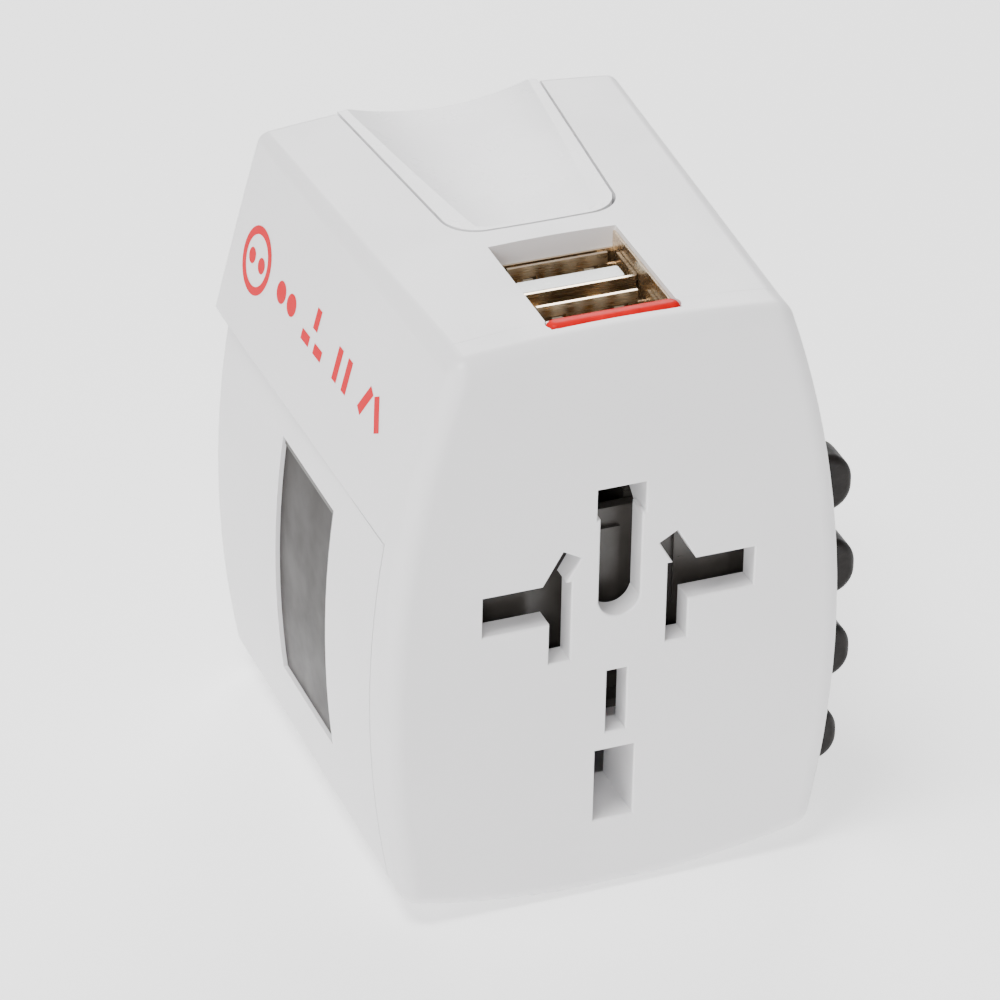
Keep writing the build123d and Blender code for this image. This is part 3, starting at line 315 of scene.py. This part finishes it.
def port_white():
    """White tongue moulding inside the charging ports, with a cool tint."""
    look = Look("port_white")
    look.tint(look.noise(350.0), (0.70, 0.72, 0.71), (0.80, 0.82, 0.81))
    look.rough(look.noise(900.0), 0.22, 0.36)
    look.bump((look.noise(4000.0), 0.000004))
    return look.material


LOOKS = {
    "white_plastic": moulded_white(
        "shell_white", (0.800, 0.790, 0.800), (0.830, 0.822, 0.830), 0.30, 0.40,
    ),
    "button_plastic": moulded_white(
        "button_white", (0.805, 0.798, 0.810), (0.835, 0.828, 0.838), 0.24, 0.33,
    ),
    "black_rubber": knob_rubber(),
    "black_plastic": gloss_black(),
    "grey_plastic": inner_grey(),
    # Nickel tint is warmed to beige as a painted warm reflection; its dark-to-light spread is
    # random tarnish.
    "nickel": plated(
        "nickel_plate_reflection_warmed", (0.66, 0.53, 0.38), (0.84, 0.71, 0.54), 0.20, 0.34, (0.05, 1.0, 1.0),
    ),
    "brass": plated(
        "stamped_brass", (0.60, 0.38, 0.13), (0.78, 0.54, 0.22), 0.20, 0.36, (1.0, 0.05, 1.0),
    ),
    "steel_spring": plated(
        "spring_steel", (0.48, 0.48, 0.5), (0.66, 0.66, 0.68), 0.22, 0.38, (1, 1, 0.1),
    ),
    "red_light_plastic": red_light(),
    "smoked_plastic": smoked_lens(),
    "circuit_board": board_green(),
    "component_plastic": component_black(),
    "transformer_body": winding_tape(),
    "port_plastic": port_white(),
}


def dress_frame():
    """Put the finished looks in the CAD nodes' material slots."""
    for part in frame["record"]["subparts"]:
        holder = frame["nodes"][part["node"]]
        for slot in holder.material_slots:
            slot.material = LOOKS[part["material_slot"]]


# ================= added pieces =================
def place_object(name, data):
    """New object in the scene that holds a mesh, a light or a camera."""
    holder = bpy.data.objects.new(name, data)
    bpy.context.scene.collection.objects.link(holder)
    return holder


def grid_object(name, grid, material):
    """Turn a bmesh into an object with one material."""
    mesh = bpy.data.meshes.new(name)
    grid.normal_update()
    grid.to_mesh(mesh)
    grid.free()
    mesh.materials.append(material)
    return place_object(name, mesh)


def add_piece(name, grid, material, body):
    """Turn a bmesh into an object that rides with a body."""
    piece = grid_object(name, grid, material)
    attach(piece, body)
    return piece


def ring_patch(grid, centre_y, centre_z, outer, inner, steps=RING_STEPS):
    """Flat ring in the YZ plane; an inner radius of 0 makes a disc."""
    rims = []
    for radius in (outer, inner):
        rim = []
        for step in range(steps):
            turn = 2 * math.pi * step / steps
            point = (0.0, centre_y + radius * math.cos(turn), centre_z + radius * math.sin(turn))
            rim.append(grid.verts.new(point))
            if radius == 0:
                break
        rims.append(rim)
    outer_rim, inner_rim = rims
    for step in range(steps):
        after = (step + 1) % steps
        if inner == 0:
            grid.faces.new((outer_rim[step], outer_rim[after], inner_rim[0]))
        else:
            grid.faces.new(
                (outer_rim[step], outer_rim[after], inner_rim[after], inner_rim[step])
            )


def bar_patch(grid, centre_y, centre_z, wide, tall, lean=0.0, cuts=6):
    """Flat bar in the YZ plane, leaning by an angle, divided so that it can follow the bulge."""
    rows = []
    for step in range(cuts + 1):
        up = tall * (step / cuts - 0.5)
        row = []
        for side in (-0.5, 0.5):
            across = side * wide
            y = centre_y + across * math.cos(lean) - up * math.sin(lean)
            z = centre_z + across * math.sin(lean) + up * math.cos(lean)
            row.append(grid.verts.new((0.0, y, z)))
        rows.append(row)
    for low, high in zip(rows, rows[1:]):
        grid.faces.new((low[0], low[1], high[1], high[0]))


def press_on_flank(grid, node):
    """Move every point onto the left face of a CAD node, lifted by the film's thickness."""
    wall = BVHTree.FromObject(frame["nodes"][node], bpy.context.evaluated_depsgraph_get())
    outside = cad_low[0] - RAY_MARGIN
    for vert in grid.verts:
        start = Vector((outside, vert.co.y, vert.co.z))
        hit = wall.ray_cast(start, Vector((1, 0, 0)))[0]
        vert.co.x = hit.x - PRINT_LIFT


def add_side_pictograms():
    """A round outlet sign, then the four pin patterns, printed along the hood's left flank."""
    grid = bmesh.new()
    sides = (-1, 1)

    # outlet sign: a ring with two small contacts
    y = PRINT_START_Y
    ring_patch(grid, y, PRINT_Z, ICON_RADIUS, ICON_RADIUS - STROKE)
    for side in sides:
        ring_patch(grid, y + side * PIN_SPREAD * 0.8, PRINT_Z, PIN_DOT * 0.9, 0, DOT_STEPS)

    # round pins
    y -= PRINT_PITCH * 1.1
    for side in sides:
        ring_patch(grid, y + side * PIN_SPREAD * 0.9, PRINT_Z, PIN_DOT * 1.25, 0, DOT_STEPS)

    # rectangular pins with an earth pin above
    y -= PRINT_PITCH
    bar_patch(grid, y, PRINT_Z + EARTH_BAR_RISE, BAR_WIDE, EARTH_BAR_TALL)
    for side in sides:
        place_y = y + side * PIN_SPREAD * 1.05
        bar_patch(grid, place_y, PRINT_Z - LINE_BAR_DROP, LINE_BAR_WIDE, BAR_WIDE)

    # flat blades
    y -= PRINT_PITCH
    for side in sides:
        bar_patch(grid, y + side * PIN_SPREAD * 0.8, PRINT_Z, BAR_WIDE, BAR_TALL)

    # tilted blades
    y -= PRINT_PITCH
    for side in sides:
        place_y = y + side * PIN_SPREAD * 0.95
        bar_patch(grid, place_y, PRINT_Z, BAR_WIDE, BAR_TALL, side * BLADE_TILT)

    press_on_flank(grid, "front_cover")
    bmesh.ops.recalc_face_normals(grid, faces=grid.faces)
    return add_piece("side_pictograms", grid, coral_print(), "housing")


def add_port_springs():
    """Bowed leaf springs that stand in the windows of both port shells."""
    grid = bmesh.new()
    for shell in ("front_usb_shell", "rear_usb_shell"):
        rear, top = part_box(shell)[1][1:]
        for x in (-LEAF_X, LEAF_X):
            leaf_strip(grid, x, LEAF_WIDE, rear, top - LEAF_TOP_DROP, top - LEAF_LOW_DROP)
    piece = add_piece("port_leaf_springs", grid, LOOKS["nickel"], "housing")
    thick = piece.modifiers.new("sheet", "SOLIDIFY")
    thick.thickness = LEAF_THICK
    thick.offset = 0
    return piece


def leaf_strip(grid, centre_x, wide, wall_y, top_z, low_z, steps=10):
    """One strip hung from its top edge, bowed forward into the port."""
    rows = []
    for step in range(steps + 1):
        part = step / steps
        z = top_z + (low_z - top_z) * part
        y = wall_y - LEAF_SINK - LEAF_BOW * math.sin(math.pi * part)
        rows.append([grid.verts.new((centre_x + side * wide / 2, y, z)) for side in (-1, 1)])
    for high, low in zip(rows, rows[1:]):
        grid.faces.new((high[0], high[1], low[1], low[0]))


# ================= stage =================
def add_floor():
    """Pale seamless floor under the adapter."""
    grid = bmesh.new()
    corners = [(-1, -1), (1, -1), (1, 1), (-1, 1)]
    grid.faces.new([
        grid.verts.new((x * FLOOR_HALF, y * FLOOR_HALF, cad_low[2])) for x, y in corners
    ])
    look = Look("studio_floor")
    look.tint(look.noise(3.0), (0.93, 0.93, 0.93), (0.95, 0.95, 0.95))
    look.set(
        Roughness=0.6, Emission_Color=(1.0, 1.0, 1.0, 1.0), Emission_Strength=FLOOR_GLOW,
    )
    grid_object("studio_floor", grid, look.material)


def add_softbox(name, place, wide, power):
    """Square area light that faces the adapter's middle."""
    lamp = bpy.data.lights.new(name, "AREA")
    lamp.shape = "SQUARE"
    lamp.size = wide
    lamp.energy = power
    holder = place_object(name, lamp)
    holder.location = place
    aim = Vector(LIGHT_AIM) - Vector(place)
    holder.rotation_euler = aim.to_track_quat("-Z", "Y").to_euler()


def add_lights():
    """Dim surround, then the lights of the table, the first of which grazes the top."""
    world = bpy.data.worlds.new("studio")
    world.use_nodes = True
    background = world.node_tree.nodes["Background"]
    background.inputs["Color"].default_value = (1.0, 0.995, 0.99, 1.0)
    background.inputs["Strength"].default_value = SURROUND
    bpy.context.scene.world = world
    for softbox in SOFTBOXES:
        add_softbox(*softbox)


def add_camera():
    """Camera at the angle the object is seen from."""
    back = Vector((
        math.sin(VIEW_AZIMUTH) * math.cos(VIEW_ELEVATION),
        -math.cos(VIEW_AZIMUTH) * math.cos(VIEW_ELEVATION),
        math.sin(VIEW_ELEVATION),
    ))
    level = Vector((math.cos(VIEW_AZIMUTH), math.sin(VIEW_AZIMUTH), 0))
    upward = back.cross(level)
    right = level * math.cos(VIEW_ROLL) + upward * math.sin(VIEW_ROLL)
    up = upward * math.cos(VIEW_ROLL) - level * math.sin(VIEW_ROLL)
    camera = bpy.data.cameras.new("camera")
    camera.lens = LENS_MM
    camera.sensor_width = SENSOR_MM
    camera.clip_start = NEAR_CLIP
    holder = place_object("camera", camera)
    turn = Matrix((right, up, back)).transposed().to_4x4()
    holder.matrix_world = Matrix.Translation(VIEW_TARGET + back * VIEW_DISTANCE) @ turn
    bpy.context.scene.camera = holder


add_camera()
dress_frame()
add_side_pictograms()
add_port_springs()
add_floor()
add_lights()
